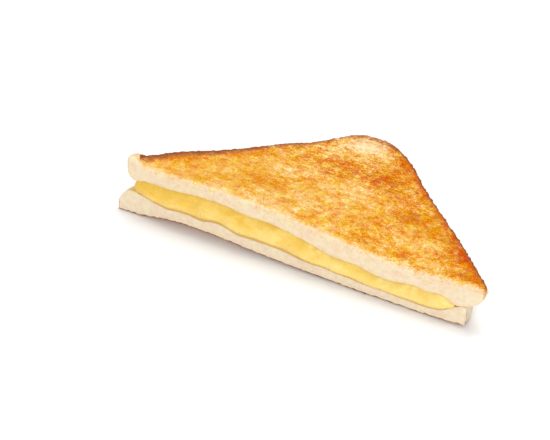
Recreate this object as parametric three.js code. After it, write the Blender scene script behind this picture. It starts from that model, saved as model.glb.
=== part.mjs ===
// Half of a grilled cheese sandwich: two toasted slices of white bread with melted cheese
// between them, cut in two from corner to corner. Millimetres, +Z up.
// X runs along the cut, Y from the cut face back to the square corner of the bread, and the
// half rests on the toasted underside of its lower slice. The origin is on that surface,
// under the middle of the half's bounding box.
import * as THREE from "three";
import { mergeVertices } from "three/addons/utils/BufferGeometryUtils.js";

// ---- Driving dimensions: the bread, seen from above ----
const CUT = 158; // the diagonal cut, between the bread's two sharp corners
const LEG_RISE = 1.02; // depth of the square corner over half the cut
const CORNER_SOFTNESS = 8; // how far the square corner is rounded off
const LEFT_SWELLS = [
  { x: -12.5, swell: 5, spread: 8.5 }, // the crust's shoulder beside the rounded corner
  { x: -36, swell: 1.4, spread: 14 },
];
const RIGHT_SWELLS = [
  { x: 17, swell: 1.4, spread: 7 },
  { x: 52, swell: 2.2, spread: 24 },
];

// ---- Driving dimensions: the layers away from the cut ----
const TOAST_LEVEL = 20.4; // height of the toasted top over the middle of the cut
const TOAST_TILT = -0.037; // the top falls towards +X, where there is less cheese
const CORNER_LIFT = 0.8; // the square corner stands a little proud of the top
const REAR_LIFT = { x: -62, spread: 9, height: 1.1 }; // and so does the crust by the curled end
const UPPER_BREAD = 7.4; // thickness of the upper slice where it was pressed
const LOWER_BREAD = 7.5; // thickness of the lower slice where it was pressed
const RIM_PUFF = 1.1; // how much thicker each slice is at its crust
const RIM_WIDTH = 11; // width of the crust's rim, where the bread was pressed least
const EDGE_BAND = 24; // depth over which the cut edge's waves fade into the flat inside
const SEAM = 0.35; // clearance between touching layers

// ---- Edge lines of the layers along the cut face: [x, z] at each turn of the line ----
const UNDERSIDE_LINE = [[-79, 0], [-70, 0], [-60, 1.6], [-20, 1.5], [18, 0.2], [55, 0.1],
  [71, 0.9]];
const LOWER_INNER_LINE = [[-79, 9], [-68, 10.3], [-62, 9.2], [-54, 8.5], [-46, 8.7], [-41, 8.4],
  [-36.5, 9.2], [-33, 9.3], [-26, 7.9], [-16, 7.7], [-6, 7.4], [0, 6.6], [7, 6], [14, 6.2],
  [20, 5.6], [32, 5.1], [46, 4.7], [53, 4.5], [58, 5.1], [62, 6.3], [65, 7.6], [69, 8.9],
  [74, 9.3]];
const UPPER_INNER_LINE = [[-77, 13.4], [-66, 16.1], [-56, 16.2], [-46, 17.1], [-34, 17.5],
  [-29, 17.2], [-25, 16.6], [-12, 16.2], [-2, 14.9], [6, 13.3], [14, 11.4], [18, 11], [25, 11],
  [34, 9.2], [40, 9.3], [46, 10.4], [50, 10.5], [53.5, 10.1], [57, 10.6], [60.5, 10.5],
  [63, 9.5], [65, 9], [69, 9.6], [74, 10.3], [78, 10.8]];
const TOAST_LINE = [[-77, 24.7], [-74.5, 25], [-71.8, 24.8], [-70.4, 23.7], [-69, 23],
  [-66, 22.7], [-56, 22.6], [-30, 23.2], [8, 20.4], [50, 17.1], [62, 17.7], [78, 18.3]];

// ---- The slices' pointed ends, where the cut meets the bread's rounded corners ----
// radius is the corner's rounding and turn that of the cut face into it, seen from above.
// under and over are the [reach, depth] by which the end's lower and upper edges are rounded.
const LOWER_SLICE = {
  shift: -2, // the slice lies this far along X
  left: { radius: 2.4, turn: 1, under: [0.6, 0.3], over: [6, 7.5] },
  right: { radius: 14, turn: 0.8, under: [0.8, 0.4], over: [1.6, 1] },
  cutEdge: [0.4, 0], // rounding of the under and over faces where the knife cut them
  crustEdge: [1.8, 1.5], // rounding of the under and over faces into the crust
  cragged: false, // whether the over face is toasted and uneven
};
const UPPER_SLICE = {
  shift: 0,
  left: { radius: 3.6, turn: 2, under: [5.2, 9.2], over: [2.6, 2.2] },
  right: { radius: 6.5, turn: 0.8, under: [8, 5.5], over: [2.4, 1.2] },
  cutEdge: [0, 1.3],
  crustEdge: [1.5, 2.2],
  cragged: true,
};
const CRUST_BULGE = 0.8; // how far the crust's sides and the ends belly out
const END_BULGE = 0.25;
const FULL_SECTION = 6; // a section shallower than this has smaller edge roundings
const END_FLAT = 0.04; // the ends stop this short of their tip, so no face shrinks to nothing

const CHEESE = {
  left: -72, // ends of the cheese along the cut
  right: 65,
  lip: 1.8, // how far it swells out of the cut, on average
  lipRoot: 0.35, // share of the lip that is already outside at its upper and lower edges
  sag: 0.4, // how far the lip hangs over the lower slice
  recess: 2.6, // distance of its outer edge behind the crust, on average
  backBulge: 0.8, // how far that edge bellies out
  leastDepth: 1.2, // depth at its ends
  endRound: 7, // rounding of its ends, seen from above
};

// ---- Uneven surfaces, as sums of waves: [height, radians per mm along X, Y and Z] ----
const CRAG_WAVES = [[0.16, 1.31, 1.07, 0.7], [0.14, 1.24, -0.97, 0.5], [0.17, 0.53, -0.81, 1.1]];
const LIP_WAVES = [[0.35, 0.46, 0, 0], [0.25, 0.2, 0, 0]];
const RECESS_WAVES = [[0.9, 0.21, 0, 0], [0.6, 0.12, 0, 0]];

const SLICE_SEGMENTS = [60, 11, 4]; // along the cut, back from it, and up
const CHEESE_SEGMENTS = [60, 8, 4];

// ---- Small functions ----
const { lerp, clamp, smoothstep } = THREE.MathUtils;

const waves = (list, x, y = 0, z = 0) =>
  list.reduce((sum, [height, kx, ky, kz]) => sum + height * Math.sin(kx * x + ky * y + kz * z), 0);

// A smooth curve z(x) through a line's turns.
function curveThrough(turns) {
  const xs = turns.map((turn) => turn[0]);
  const zs = turns.map((turn) => turn[1]);
  const spline = new THREE.CubicInterpolant(xs, zs, 1, new Float64Array(1));
  return (x) => spline.evaluate(clamp(x, xs[0], xs[xs.length - 1]))[0];
}

// How far a rounded edge lies below the face, at distance d from the edge's outermost line.
function roundOver(d, [reach, depth]) {
  if (d >= reach) return 0;
  const t = 1 - Math.max(0, d / reach);
  return depth * (1 - Math.sqrt(1 - t * t));
}

// Stations from 0 to 1 that crowd together at both ends.
const crowdEnds = (t, strength) => t - (strength * Math.sin(2 * Math.PI * t)) / (2 * Math.PI);

// Stations from 0 to 1 that hug both edges of a deep section, and are even on a shallow one.
function hugEdges(t, depth) {
  const grip = (2.4 * depth) / (depth + 2 * FULL_SECTION) + 0.05;
  return 0.5 + (0.5 * Math.tanh(grip * (2 * t - 1))) / Math.tanh(grip);
}

// ---- The bread's outline, seen from above ----
// Depth of the bread behind the cut at x: the smooth minimum of its two crust sides.
function breadDepth(x) {
  const bump = (swells) =>
    swells.reduce((sum, s) => sum + s.swell * Math.exp(-(((x - s.x) / s.spread) ** 2)), 0);
  const left = (CUT / 2 + x) * LEG_RISE + bump(LEFT_SWELLS);
  const right = (CUT / 2 - x) * LEG_RISE + bump(RIGHT_SWELLS);
  const s = CORNER_SOFTNESS;
  return -s * Math.log(Math.exp(-left / s) + Math.exp(-right / s));
}

// The direction, as [x, y], in which the crust at x faces.
function crustFacing(x) {
  const slope = breadDepth(x + 0.5) - breadDepth(x - 0.5);
  const length = Math.hypot(slope, 1);
  return [-slope / length, 1 / length];
}

// How far short of the sharp corner a rounded end stops.
const endInset = ({ radius, turn }) =>
  (radius * Math.hypot(1, LEG_RISE) + turn) / LEG_RISE - radius;

// The depths [near, far] between the cut face and the crust, at distance d from a blunt end.
function endSpan(d, end, full) {
  const { radius, turn } = end;
  const near = roundOver(d, [turn, turn]);
  const tangent = radius * (1 - LEG_RISE / Math.hypot(1, LEG_RISE));
  if (d >= tangent) return [near, full];
  const arc = turn + Math.sqrt(radius ** 2 - (radius - d) ** 2);
  return [near, (full * arc) / ((d + endInset(end)) * LEG_RISE)];
}

// ---- The faces of the layers, as heights over the plan ----
const undersideLine = curveThrough(UNDERSIDE_LINE);
const lowerInnerLine = curveThrough(LOWER_INNER_LINE);
const upperInnerLine = curveThrough(UPPER_INNER_LINE);
const toastLine = curveThrough(TOAST_LINE);

// 1 at the crust, 0 away from it.
const rimShare = (x, y) => 1 - smoothstep((breadDepth(x) - y) / Math.SQRT2, 0, RIM_WIDTH);
const inside = (y) => smoothstep(y, 0, EDGE_BAND);

const underside = (x, y) =>
  Math.max(0, undersideLine(x)) * (1 - smoothstep(y, 0, EDGE_BAND / 2));

const lowerInner = (x, y) =>
  lerp(lowerInnerLine(x), LOWER_BREAD + RIM_PUFF * rimShare(x, y), inside(y));

function toastTop(x, y) {
  const corner = CORNER_LIFT * smoothstep(y, CUT / 3, CUT / 2);
  const bell = Math.exp(-(((x - REAR_LIFT.x) / REAR_LIFT.spread) ** 2));
  const rear = REAR_LIFT.height * bell * smoothstep(y, 2, 10);
  return lerp(toastLine(x), TOAST_LEVEL + TOAST_TILT * x + corner, inside(y)) + rear;
}

function upperInner(x, y) {
  const pressed = toastTop(x, y) - UPPER_BREAD - RIM_PUFF * rimShare(x, y);
  const height = lerp(upperInnerLine(x), pressed, inside(y));
  return Math.max(height, lowerInner(x, y) + SEAM);
}

// ---- Solids: a subdivided box, each of whose points is carried to its place ----
function shapedBox(segments, place) {
  const box = new THREE.BoxGeometry(1, 1, 1, ...segments);
  box.deleteAttribute("normal");
  box.deleteAttribute("uv");
  const points = box.attributes.position;
  for (let i = 0; i < points.count; i++) {
    const shares = [points.getX(i) + 0.5, points.getY(i) + 0.5, points.getZ(i) + 0.5];
    points.setXYZ(i, ...place(...shares));
  }
  const solid = mergeVertices(box, 1e-4);
  solid.computeVertexNormals();
  return solid;
}

// A slice of bread between its lower and upper faces.
function sliceGeometry(slice, lowerFace, upperFace) {
  const { left, right, shift, cutEdge, crustEdge, cragged } = slice;
  const start = -CUT / 2 + endInset(left);
  const end = CUT / 2 - endInset(right);

  return shapedBox(SLICE_SEGMENTS, (u, v, w) => {
    const along = lerp(start + END_FLAT, end - END_FLAT, crowdEnds(u, 0.8));
    const full = breadDepth(along);
    const [nearLeft, farLeft] = endSpan(along - start, left, full);
    const [nearRight, farRight] = endSpan(end - along, right, full);
    const near = Math.max(nearLeft, nearRight);
    const far = Math.min(farLeft, farRight);
    const x = along + shift;
    const y = lerp(near, far, hugEdges(v, far - near));

    // The faces, less the roundings of the cut edge, the crust's edge and the two ends.
    const fullness = clamp((far - near) / FULL_SECTION, 0, 1);
    const fromCrust = (far - y) / Math.SQRT2;
    const edges = (side) =>
      roundOver(y - near, [cutEdge[side], cutEdge[side] * fullness]) +
      roundOver(fromCrust, [crustEdge[side] * fullness, crustEdge[side] * fullness]);
    const ends = (side) =>
      roundOver(along - start, left[side]) + roundOver(end - along, right[side]);
    const under = lowerFace(x, y) + edges(0) + ends("under");
    const over = upperFace(x, y) - edges(1) - ends("over");
    const z = lerp(under, over, w);

    // The crust and the ends belly out, and the crust and the toasted face are cragged.
    const belly = Math.sin(Math.PI * w);
    const crag = waves(CRAG_WAVES, x, y, z);
    const out = v === 1 ? (CRUST_BULGE * belly + crag) * fullness : 0;
    const tip = u === 1 ? 1 : u === 0 ? -1 : 0;
    const rise = cragged && w === 1 ? crag * smoothstep(y - near, 0, FULL_SECTION) : 0;
    const [facingX, facingY] = crustFacing(along);
    return [x + out * facingX + tip * END_BULGE * belly, y + out * facingY, z + rise];
  });
}

// The cheese fills the space between the slices, from a lip that hangs out of the cut to an
// uneven edge behind the crust.
function cheeseGeometry() {
  const { left, right, lip, lipRoot, sag, recess, backBulge, leastDepth, endRound } = CHEESE;
  const rows = CHEESE_SEGMENTS[1];
  const lipRows = 2; // the lip's face and its root take the first two rows

  return shapedBox(CHEESE_SEGMENTS, (u, v, w) => {
    const x = lerp(left, right, crowdEnds(u, 0.5));
    const fromEnd = Math.min(x - left, right - x) + SEAM;
    const fill = 1 - roundOver(fromEnd, [endRound, 1]);
    const out = fill * (lip + waves(LIP_WAVES, x));
    const behind = (recess + waves(RECESS_WAVES, x)) * Math.SQRT2;
    const back = Math.max(leastDepth, (breadDepth(x) - behind) * fill);
    const row = Math.round(v * rows);
    const depths = [-out * lipRoot, -SEAM];
    const inner = lerp(2 * SEAM, back, (row - lipRows) / (rows - lipRows));
    const y = row < lipRows ? depths[row] : inner;

    const under = lowerInner(x, Math.max(0, y)) + SEAM;
    const over = upperInner(x, Math.max(0, y)) - SEAM;
    const z = lerp(under, over, w);
    const belly = Math.sin(Math.PI * w) * fill;
    if (row === 0) return [x, y - out * (1 - lipRoot) * belly, z - sag * fill * (1 - w) ** 2];
    if (row === rows) return [x, y + backBulge * belly, z];
    return [x, y, z];
  });
}

// ---- The half sandwich ----
const half = new THREE.Group();
half.name = "grilled_cheese_half";

function addLayer(name, geometry, color, roughness) {
  const layer = new THREE.Mesh(geometry, new THREE.MeshStandardMaterial({ color, roughness }));
  layer.name = name;
  half.add(layer);
}

addLayer("bread_bottom", sliceGeometry(LOWER_SLICE, underside, lowerInner), 0xe6ac60, 0.85);
addLayer("cheese", cheeseGeometry(), 0xf4cc61, 0.4);
addLayer("bread_top", sliceGeometry(UPPER_SLICE, upperInner, toastTop), 0xf0ae54, 0.8);

// The origin goes under the middle of the bounding box.
const box = new THREE.Box3().setFromObject(half);
const centre = box.getCenter(new THREE.Vector3());
for (const layer of half.children) layer.position.set(-centre.x, -centre.y, -box.min.z);

export default half;
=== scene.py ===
"""Half of a grilled cheese sandwich: two toasted slices of white bread and the melted cheese
between them, cut from corner to corner.

Each layer is one surface worked out with numpy: a closed section, carried along the cut. The
section follows the outline and the layer heights of the solid that the piece stands for, within
a millimetre or two, with finer steps and with the relief of crumb, toast, crust and cheese added
along its normals. Shapes are worked out in millimetres and put into the meshes in metres.
"""

import math

import bpy
import numpy as np
from mathutils import Matrix, Vector


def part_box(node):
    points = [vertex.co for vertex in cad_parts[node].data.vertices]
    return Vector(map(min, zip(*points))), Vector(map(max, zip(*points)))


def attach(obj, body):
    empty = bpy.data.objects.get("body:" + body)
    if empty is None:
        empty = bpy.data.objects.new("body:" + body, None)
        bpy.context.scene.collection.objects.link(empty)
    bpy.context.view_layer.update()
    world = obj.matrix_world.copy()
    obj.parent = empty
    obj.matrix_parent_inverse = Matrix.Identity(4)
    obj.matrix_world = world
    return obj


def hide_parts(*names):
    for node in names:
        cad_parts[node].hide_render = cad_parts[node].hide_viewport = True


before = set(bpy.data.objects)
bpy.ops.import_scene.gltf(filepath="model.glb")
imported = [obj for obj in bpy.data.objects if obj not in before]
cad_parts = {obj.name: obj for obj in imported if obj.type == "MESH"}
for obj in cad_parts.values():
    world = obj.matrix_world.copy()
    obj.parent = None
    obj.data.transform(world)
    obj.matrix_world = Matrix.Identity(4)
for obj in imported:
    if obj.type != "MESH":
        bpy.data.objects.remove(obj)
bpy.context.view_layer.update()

bl_info = {
    "name": "Grilled Cheese Half",
    "version": (1, 0, 0),
    "blender": (4, 5, 0),
    "location": "3D View > Sidebar > Sandwich",
    "description": "Makes a cut half of a toasted cheese sandwich, its floor, lights and camera",
    "category": "Add Mesh",
}

MM = 0.001  # metres in a millimetre
BODY = "root"

# ---- The bread's outline, seen from above (mm; X along the cut, Y back from it) ----
CUT = 158.0  # between the sharp corners that the bread would have
LEG_RISE = 1.02  # depth gained for each mm along the cut
CORNER_SOFTNESS = 8.0  # rounding of the square corner
# Swells of the two crust sides, as (place, height, spread)
LEFT_SWELLS = [(-12.5, 5.0, 8.5), (-32.0, 1.6, 5.5), (-36.0, 1.4, 14.0)]
RIGHT_SWELLS = [(17.0, 1.4, 7.0), (58.0, 1.8, 22.0)]

# ---- The layers away from the cut ----
TOAST_LEVEL = 20.4
TOAST_TILT = -0.037  # rise for each mm along the cut
CORNER_LIFT = 0.8
REAR_LIFT = (-62.0, 9.0, 1.1)  # place along the cut, spread and height of the rise near the end
UPPER_BREAD = 7.4
LOWER_BREAD = 7.5
RIM_PUFF = 1.1  # how much thicker the slices are at the crust
RIM_WIDTH = 11.0
EDGE_BAND = 24.0  # depth over which the waves of the cut's edge lines fade out
SEAM = 0.08  # between the slices past the end of the cheese

# ---- Edge lines of the layers along the cut face: (x, z) at each turn ----
UNDERSIDE_LINE = [(-79, 0), (-70, 0), (-60, 1.6), (-20, 1.5), (18, 0.2), (55, 0.1), (71, 0.9)]
LOWER_INNER_LINE = [
    (-79, 9), (-68, 10.3), (-62, 9.2), (-54, 8.5), (-46, 8.7), (-41, 8.4), (-36.5, 9.2),
    (-33, 9.3), (-26, 7.9), (-16, 7.7), (-6, 7.4), (0, 6.6), (7, 6), (14, 6.2), (20, 5.6),
    (32, 5.1), (46, 4.7), (53, 4.5), (58, 5.1), (62, 6.3), (65, 7.6), (69, 8.9), (74, 9.3),
]
UPPER_INNER_LINE = [
    (-77, 13.4), (-66, 16.1), (-56, 16.2), (-46, 17.1), (-34, 17.5), (-29, 17.2), (-25, 16.6),
    (-12, 16.2), (-2, 14.9), (6, 13.3), (14, 11.4), (18, 11), (25, 11), (34, 9.2), (40, 9.3),
    (46, 10.4), (50, 10.5), (53.5, 10.1), (57, 10.6), (60.5, 10.5), (63, 9.4), (65, 8.5),
    (69, 9.1), (74, 9.8), (78, 10.4),
]
TOAST_LINE = [
    (-77, 24.7), (-74.5, 25), (-71.8, 24.8), (-70.4, 23.7), (-69, 23), (-66, 22.7), (-56, 22.6),
    (-30, 23.2), (8, 20.4), (50, 17.1), (62, 17.7), (78, 18.3),
]

# ---- The slices: ends and edges, with pairs of (reach, depth) of a rounding, and toast ----
CUT_FACE, OVER_FACE, CRUST_SIDE, UNDER_FACE = range(4)  # the sides of a slice's section
LOWER_SLICE = {
    "shift": -2.0,  # along the cut, from the bread's outline
    "left": {"radius": 2.4, "turn": 1.0, "under": (0.6, 0.3), "over": (6.0, 7.5)},
    "right": {"radius": 14.0, "turn": 0.8, "under": (0.8, 0.4), "over": (1.6, 1.0)},
    "cut_edge": {"under": 0.4, "over": 0.15},
    "crust_edge": {"under": 1.8, "over": 1.5},
    "right_gap": 1.1,  # how much shorter it is than its solid at the right end
    "squarer": 0.7,  # share of the crust's rounding that is missing there
    "notch": 0.0,  # depth of the fold behind the curled end
    "toasted": UNDER_FACE,
    "wrap": (-0.2, 0.1, 0.1),  # toast starts and is full so far inside its edge; raggedness
    "ear": (-9, -8),  # from the left end, where a pale curled end stops: below 0 for none
    "edge_tone": 0.25,  # browning added along the edge of the cut
    "seed": 100,
}
UPPER_SLICE = {
    "shift": 0.0,
    "left": {"radius": 3.6, "turn": 2.0, "under": (5.2, 9.2), "over": (2.6, 2.2)},
    "right": {"radius": 6.5, "turn": 0.8, "under": (8.0, 5.5), "over": (2.4, 1.2)},
    "cut_edge": {"under": 0.12, "over": 1.3},
    "crust_edge": {"under": 1.5, "over": 2.2},
    "right_gap": 0.0,
    "squarer": 0.0,
    "notch": 1.0,
    "toasted": OVER_FACE,
    "wrap": (-2.2, 2.8, 1.4),
    "ear": (3.2, 5.2),
    "edge_tone": -0.30,
    "seed": 200,
}
CRUST_BULGE, END_BULGE = 0.8, 0.25
FULL_SECTION = 6.0  # depth of the bread from which its edges are fully rounded
SQUARE_SPAN = (5, 15)  # from the right end, where the missing rounding comes back
END_FLAT = 0.01  # from an end to the first and the last section

CHEESE = {
    "left": -72.0, "right": 65.0,
    "left_gap": 1.0,  # how much shorter it is than its solid at the left end
    "lip": 1.8, "lip_waves": [(0.35, 0.46), (0.25, 0.2)],  # (height, radians per mm)
    "root": (0.3, -0.16),  # share of the lip at its foot and at its upper edge
    "fold_power": (0.75, 1.5),  # fullness of the lip below and above its middle
    "drips": 0.45, "swells": 0.32, "laps": (0.38, 0.6),  # heights along the lip
    "recess": 2.6, "recess_waves": [(0.9, 0.21), (0.6, 0.12)],
    "back_bulge": 0.8, "least_depth": 1.2, "end_round": 7.0, "end_bulge": 0.4,
    "pinch": (2.0, 0.4),  # reach and share by which the left end closes
    "soak": 0.12,  # how far the melted cheese has gone into the crumb of both slices
}

# ---- Steps of the surfaces ----
SLICE_COLUMNS = (26, 390, 26)  # in the left end's rounding, between, in the right end's
UPPER_STEPS = {"cut": 32, "over": (8, 96, 10), "crust": 27, "under": (5, 24, 6)}
LOWER_STEPS = {"cut": 32, "over": (5, 24, 6), "crust": 27, "under": (8, 78, 10)}
CHEESE_COLUMNS = (16, 560, 16)
CHEESE_STEPS = {"lip": 46, "face": (3, 12, 3), "back": 22}


# ---- Small functions on arrays ----

def lerp(a, b, share):
    """a at share 0, b at share 1, straight between."""
    return a + (b - a) * share


def smoothstep(value, low, high):
    """0 below low, 1 above high, and an S-shaped cubic between."""
    share = np.clip((value - low) / (high - low), 0.0, 1.0)
    return share * share * (3.0 - 2.0 * share)


def bell(value, spread):
    """e^-(value / spread)^2."""
    return np.exp(-((value / spread) ** 2))


def fade_out(value, reach):
    """1 up to 0, and e^-(value / reach) from there."""
    return np.exp(-np.maximum(value, 0) / reach)


def curve_through(turns):
    """A smooth curve z(x) through the turns of a line, held level past its two ends.

    It is the natural cubic spline: the second derivatives m at the turns solve
    h0 m0 + 2 (h0 + h1) m1 + h1 m2 = 6 (slope1 - slope0), with m = 0 at both ends.
    """
    xs, zs = np.array(turns, float).T
    gaps, slopes = np.diff(xs), np.diff(zs) / np.diff(xs)
    count = len(xs)
    system, right = np.eye(count), np.zeros(count)
    for i in range(1, count - 1):
        system[i, i - 1:i + 2] = gaps[i - 1], 2 * (gaps[i - 1] + gaps[i]), gaps[i]
        right[i] = 6 * (slopes[i] - slopes[i - 1])
    bends = np.linalg.solve(system, right)

    def curve(x):
        x = np.clip(x, xs[0], xs[-1])
        i = np.clip(np.searchsorted(xs, x, side="right") - 1, 0, count - 2)
        a, b = (xs[i + 1] - x) / gaps[i], (x - xs[i]) / gaps[i]
        curl = ((a**3 - a) * bends[i] + (b**3 - b) * bends[i + 1]) * gaps[i]**2 / 6
        return a * zs[i] + b * zs[i + 1] + curl

    return curve


def round_over(distance, reach_depth):
    """Drop of a rounded edge, at a distance from its outermost line: a quarter ellipse."""
    reach, depth = reach_depth
    reach = np.maximum(reach, 1e-9)
    share = 1.0 - np.clip(distance / reach, 0.0, 1.0)
    return depth * (1.0 - np.sqrt(1.0 - share * share))


def stations(length, reaches, counts):
    """Distances from 0 to a length, as the last axis: crowded like the foot of a circle over the
    two reaches at its ends, where an edge is rounded, and even between them."""
    first, middle, last = counts
    most = 0.35 * length
    first_reach, last_reach = np.minimum(reaches[0], most), np.minimum(reaches[1], most)
    quarter = math.pi / 2
    opening = first_reach * (1 - np.cos(quarter * np.arange(first) / first))
    straight = length - first_reach - last_reach
    between = first_reach + straight * np.arange(middle) / middle
    closing = length - last_reach * (1 - np.sin(quarter * np.arange(last + 1) / last))
    return np.concatenate([opening, between, closing], axis=-1)


# ---- Random fields: the same numbers each time, from whole-numbered cells ----
CLOUD_GAIN = 1.7


def mixed_bits(cells, seed):
    """A repeatable random whole number for each cell: its three indices times large odd
    numbers are added, and the sum's bits are folded over each other three times."""
    x, y, z = ((cells[..., i].astype(np.int64) & 0xFFFFFFFF).astype(np.uint32) for i in range(3))
    bits = x * np.uint32(374761393) + y * np.uint32(668265263) + z * np.uint32(2246822519)
    bits = bits + np.uint32(seed * 97 + 13)
    bits = (bits ^ (bits >> np.uint32(13))) * np.uint32(1274126177)
    bits = (bits ^ (bits >> np.uint32(15))) * np.uint32(2654435761)
    return bits ^ (bits >> np.uint32(16))


def three_shares(bits):
    """Three random numbers from 0 to 1, from ten bits of a whole number each."""
    tens = [(bits >> np.uint32(shift)) & np.uint32(1023) for shift in (0, 10, 20)]
    return np.stack(tens, axis=-1).astype(np.float64) / 1023.0


def cloud_layer(points, seed):
    """Gradient noise, about -1 to 1: each corner of the cell round a point has a random slope,
    and the heights of the eight slopes are blended by a smooth share of the way across. They
    are small where they meet, so the sum is multiplied by CLOUD_GAIN."""
    base = np.floor(points)
    offset = points - base
    ease = offset**3 * (offset * (6 * offset - 15) + 10)
    total = np.zeros(points.shape[:-1])
    for corner in np.ndindex(2, 2, 2):
        corner = np.array(corner)
        slope = three_shares(mixed_bits(base + corner, seed)) * 2 - 1
        weight = np.prod(np.where(corner == 1, ease, 1 - ease), axis=-1)
        total += weight * np.sum(slope * (offset - corner), axis=-1)
    return total * CLOUD_GAIN


def cloud(points, size, seed, octaves, gain=0.5):
    """Mean of gradient noises, each half the size of the last and with `gain` times its weight.
    Size is a number, or one for each axis where the pattern is drawn out."""
    total, height, reach = 0.0, 1.0, 0.0
    scaled = points / np.array(size, float)
    for octave in range(octaves):
        total = total + height * cloud_layer(scaled * 2**octave, seed + 31 * octave)
        reach += height
        height *= gain
    return total / reach


def holes(points, size, seed, share):
    """Round hollows of random sizes, 0 outside and up to 1 in the middle: a share of the cells
    holds one centre each, and a hollow is (1 - (distance / radius)^2)^2 times its own depth. Its
    radius is 0.25 to 0.95 of a cell, and more often small."""
    scaled = points / np.array(size, float)
    base = np.floor(scaled)
    deepest = np.zeros(points.shape[:-1])
    for step in np.ndindex(3, 3, 3):
        cell = base + np.array(step) - 1
        bits = mixed_bits(cell, seed)
        centre = cell + three_shares(bits)
        chance = three_shares(mixed_bits(cell, seed + 7))
        radius = np.where(chance[..., 0] < share, 0.25 + 0.7 * chance[..., 1] ** 2, 1e-6)
        near = np.sum((scaled - centre) ** 2, axis=-1) / radius**2
        depth = np.clip(1 - near, 0, 1) ** 2 * (0.4 + 0.6 * chance[..., 2])
        deepest = np.maximum(deepest, depth)
    return deepest


# ---- The bread's outline and the heights of the layers ----

underside_line = curve_through(UNDERSIDE_LINE)
lower_inner_line = curve_through(LOWER_INNER_LINE)
upper_inner_line = curve_through(UPPER_INNER_LINE)
toast_line = curve_through(TOAST_LINE)


def bread_depth(x):
    """Depth of the bread behind the cut at x: the smooth minimum, -s log(e^(-l/s) + e^(-r/s)),
    of its two crust sides, which rise from the sharp corners with bell-shaped swells."""
    left = (CUT / 2 + x) * LEG_RISE + sum(h * bell(x - at, w) for at, h, w in LEFT_SWELLS)
    right = (CUT / 2 - x) * LEG_RISE + sum(h * bell(x - at, w) for at, h, w in RIGHT_SWELLS)
    s = CORNER_SOFTNESS
    return -s * np.log(np.exp(-left / s) + np.exp(-right / s))


def crust_facing(x):
    """The plan direction, square to the outline, in which the crust at x faces."""
    slope = bread_depth(x + 0.5) - bread_depth(x - 0.5)
    length = np.hypot(slope, 1.0)
    return -slope / length, 1.0 / length


def end_inset(end):
    """How far short of the sharp corner a rounded end stops."""
    radius, turn = end["radius"], end["turn"]
    return (radius * math.hypot(1, LEG_RISE) + turn) / LEG_RISE - radius


def end_span(distance, end, full):
    """Depths (near, far) between the cut face and the crust, at a distance from a blunt end:
    the cut face turns in by a quarter circle, and the crust follows a circle that touches it."""
    radius, turn = end["radius"], end["turn"]
    near = round_over(distance, (turn, turn))
    tangent = radius * (1 - LEG_RISE / math.hypot(1, LEG_RISE))
    arc = turn + np.sqrt(np.maximum(0, radius**2 - (radius - distance) ** 2))
    rounded = full * arc / ((distance + end_inset(end)) * LEG_RISE)
    return near, np.where(distance >= tangent, full, rounded)


def rim_share(x, y):
    """1 at the crust, 0 away from it."""
    return 1 - smoothstep((bread_depth(x) - y) / math.sqrt(2), 0, RIM_WIDTH)


def inside(y):
    """0 on the cut face, 1 where its waves have faded out."""
    return smoothstep(y, 0, EDGE_BAND)


def underside(x, y):
    """Height of the lower slice's under face: flat, and arched along the cut."""
    return np.maximum(0, underside_line(x)) * (1 - smoothstep(y, 0, EDGE_BAND / 2))


def lower_inner(x, y):
    """Height of the lower slice's face that carries the cheese."""
    return lerp(lower_inner_line(x), LOWER_BREAD + RIM_PUFF * rim_share(x, y), inside(y))


def toast_top(x, y):
    """Height of the toasted top: a tilted plane with a lifted corner, from the cut's own line."""
    corner = CORNER_LIFT * smoothstep(y, CUT / 3, CUT / 2)
    at, spread, height = REAR_LIFT
    rear = height * bell(x - at, spread) * smoothstep(y, 2, 10)
    return lerp(toast_line(x), TOAST_LEVEL + TOAST_TILT * x + corner, inside(y)) + rear


def upper_inner(x, y):
    """Height of the upper slice's face on the cheese, never lower than the lower slice."""
    pressed = toast_top(x, y) - UPPER_BREAD - RIM_PUFF * rim_share(x, y)
    height = lerp(upper_inner_line(x), pressed, inside(y))
    return np.maximum(height, lower_inner(x, y) + SEAM)


def frame_shift():
    """What carries these sizes into the part's own frame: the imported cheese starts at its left
    end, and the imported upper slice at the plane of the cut."""
    cheese_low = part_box("cheese")[0]
    slice_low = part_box("bread_top")[0]
    return np.array([cheese_low.x / MM - CHEESE["left"], slice_low.y / MM, 0.0])


# ---- Closed sections carried along the cut ----

def loop_normals(points):
    """Outward directions of a grid of points [column, step of the loop]: the cross product of
    the differences along the columns and round the loop."""
    across = np.gradient(points, axis=0)
    round_loop = np.roll(points, -1, axis=1) - np.roll(points, 1, axis=1)
    normals = np.cross(across, round_loop)
    return normals / np.maximum(np.linalg.norm(normals, axis=-1, keepdims=True), 1e-12)


def loop_faces(columns, steps):
    """Quads of a tube of closed loops, with the middle of each end as two more points. The
    ends are closed by quads that take two steps of the loop each, so steps is even."""
    if steps % 2:
        raise ValueError("the loops need an even number of steps to close their ends")
    i, j = np.meshgrid(np.arange(columns - 1), np.arange(steps), indexing="ij")
    k = (j + 1) % steps
    sides = np.stack([i * steps + j, (i + 1) * steps + j, (i + 1) * steps + k, i * steps + k], -1)
    pairs = np.arange(0, steps, 2)
    ends = []
    for column, middle, turn in ((0, columns * steps, 1), (columns - 1, columns * steps + 1, -1)):
        ring = [column * steps + (pairs + n) % steps for n in (0, 1, 2)][::turn]
        ends.append(np.stack([np.full(len(pairs), middle), *ring], axis=-1))
    return np.concatenate([sides.reshape(-1, 4), *ends])


def add_object(name, data):
    """A new object in the scene, of a mesh, a light or a camera."""
    added = bpy.data.objects.new(name, data)
    bpy.context.scene.collection.objects.link(added)
    return added


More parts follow.
